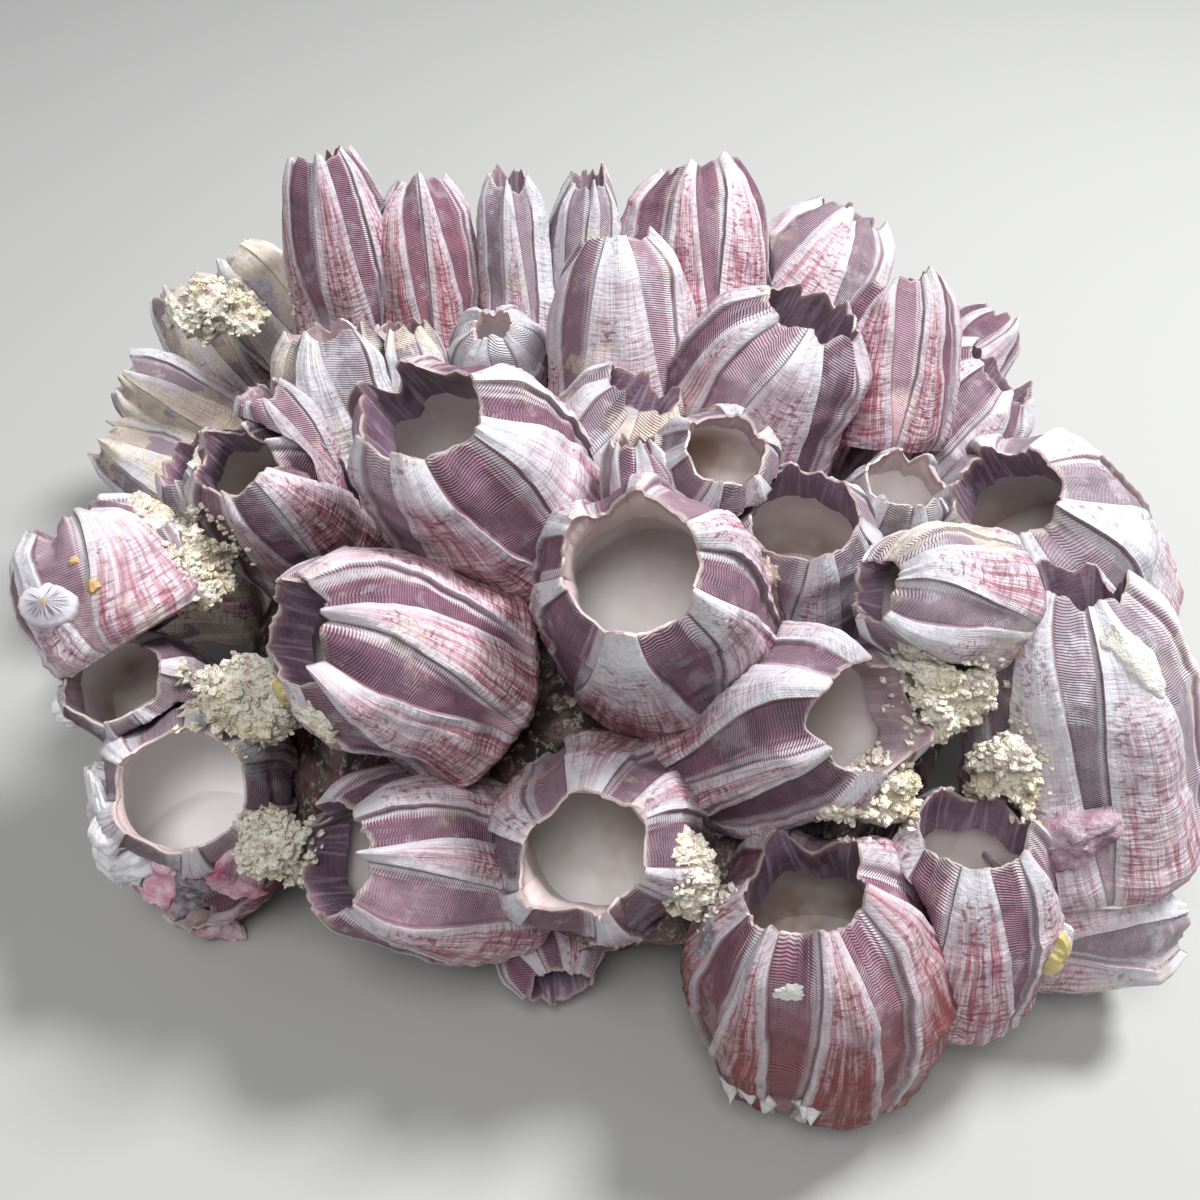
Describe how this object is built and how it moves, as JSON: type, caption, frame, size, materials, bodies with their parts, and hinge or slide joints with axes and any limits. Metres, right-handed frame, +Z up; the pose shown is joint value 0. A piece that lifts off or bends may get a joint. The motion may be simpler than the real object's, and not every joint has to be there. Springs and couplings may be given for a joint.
{
  "type": "barnacle cluster",
  "caption": "Mound of barrel-shaped barnacle shells, open at their mouths and grown against one another on a crumbly mat, cut flat below to stand as a natural ornament.",
  "frame": {"origin": "middle of the cluster's outline seen from above, on the surface that its flat scar rests on", "axes": "+Z up, +X to the right and -Y towards a viewer in front of it, whose side has the largest open mouths"},
  "size_m": [0.2522, 0.2338, 0.1187],
  "materials": {
    "plum_shell": "satin shell, plum panels between white and pink ribbed plates",
    "rose_shell": "satin shell, rose streaks on white",
    "bleached_shell": "worn, bleached chalky shell",
    "crust": "dry, crumbly cream sponge and grit"
  },
  "bodies": {
    "root": {"shell_small_1": "plum_shell", "shell_small_2": "plum_shell", "shell_small_3": "bleached_shell", "shell_small_4": "rose_shell", "shell_small_5": "plum_shell", "shell_crown_1": "plum_shell", "shell_crown_2": "plum_shell", "shell_crown_3": "plum_shell", "shell_crown_4": "plum_shell", "shell_crown_5": "plum_shell", "shell_crown_6": "rose_shell", "shell_crown_7": "plum_shell", "shell_crown_8": "plum_shell", "shell_crown_9": "plum_shell", "shell_crown_10": "plum_shell", "shell_front_1": "plum_shell", "shell_front_2": "rose_shell", "shell_front_3": "plum_shell", "shell_front_4": "plum_shell", "shell_front_5": "plum_shell", "shell_right_1": "plum_shell", "shell_right_2": "plum_shell", "shell_right_3": "rose_shell", "shell_right_4": "plum_shell", "shell_right_5": "bleached_shell", "shell_right_6": "plum_shell", "shell_right_7": "plum_shell", "shell_right_8": "plum_shell", "shell_right_9": "plum_shell", "shell_right_10": "plum_shell", "shell_left_2": "plum_shell", "shell_left_1": "rose_shell", "shell_left_3": "rose_shell", "shell_left_4": "bleached_shell", "shell_left_5": "bleached_shell", "shell_left_6": "plum_shell", "shell_left_7": "plum_shell", "shell_left_8": "plum_shell", "shell_left_9": "plum_shell", "shell_back_1": "rose_shell", "shell_back_2": "rose_shell", "shell_back_3": "plum_shell", "shell_back_4": "plum_shell", "shell_back_5": "plum_shell", "shell_back_6": "rose_shell", "shell_back_7": "bleached_shell", "shell_back_8": "plum_shell", "shell_back_9": "plum_shell", "shell_back_10": "plum_shell", "shell_back_11": "plum_shell", "shell_back_12": "plum_shell", "sponge_mat": "crust", "crust_patch_1": "crust", "crust_patch_2": "crust", "crust_patch_3": "crust", "crust_patch_4": "crust", "crust_patch_5": "crust", "crust_patch_6": "crust", "crust_patch_7": "crust", "crust_patch_8": "crust"}
  },
  "joints": []
}
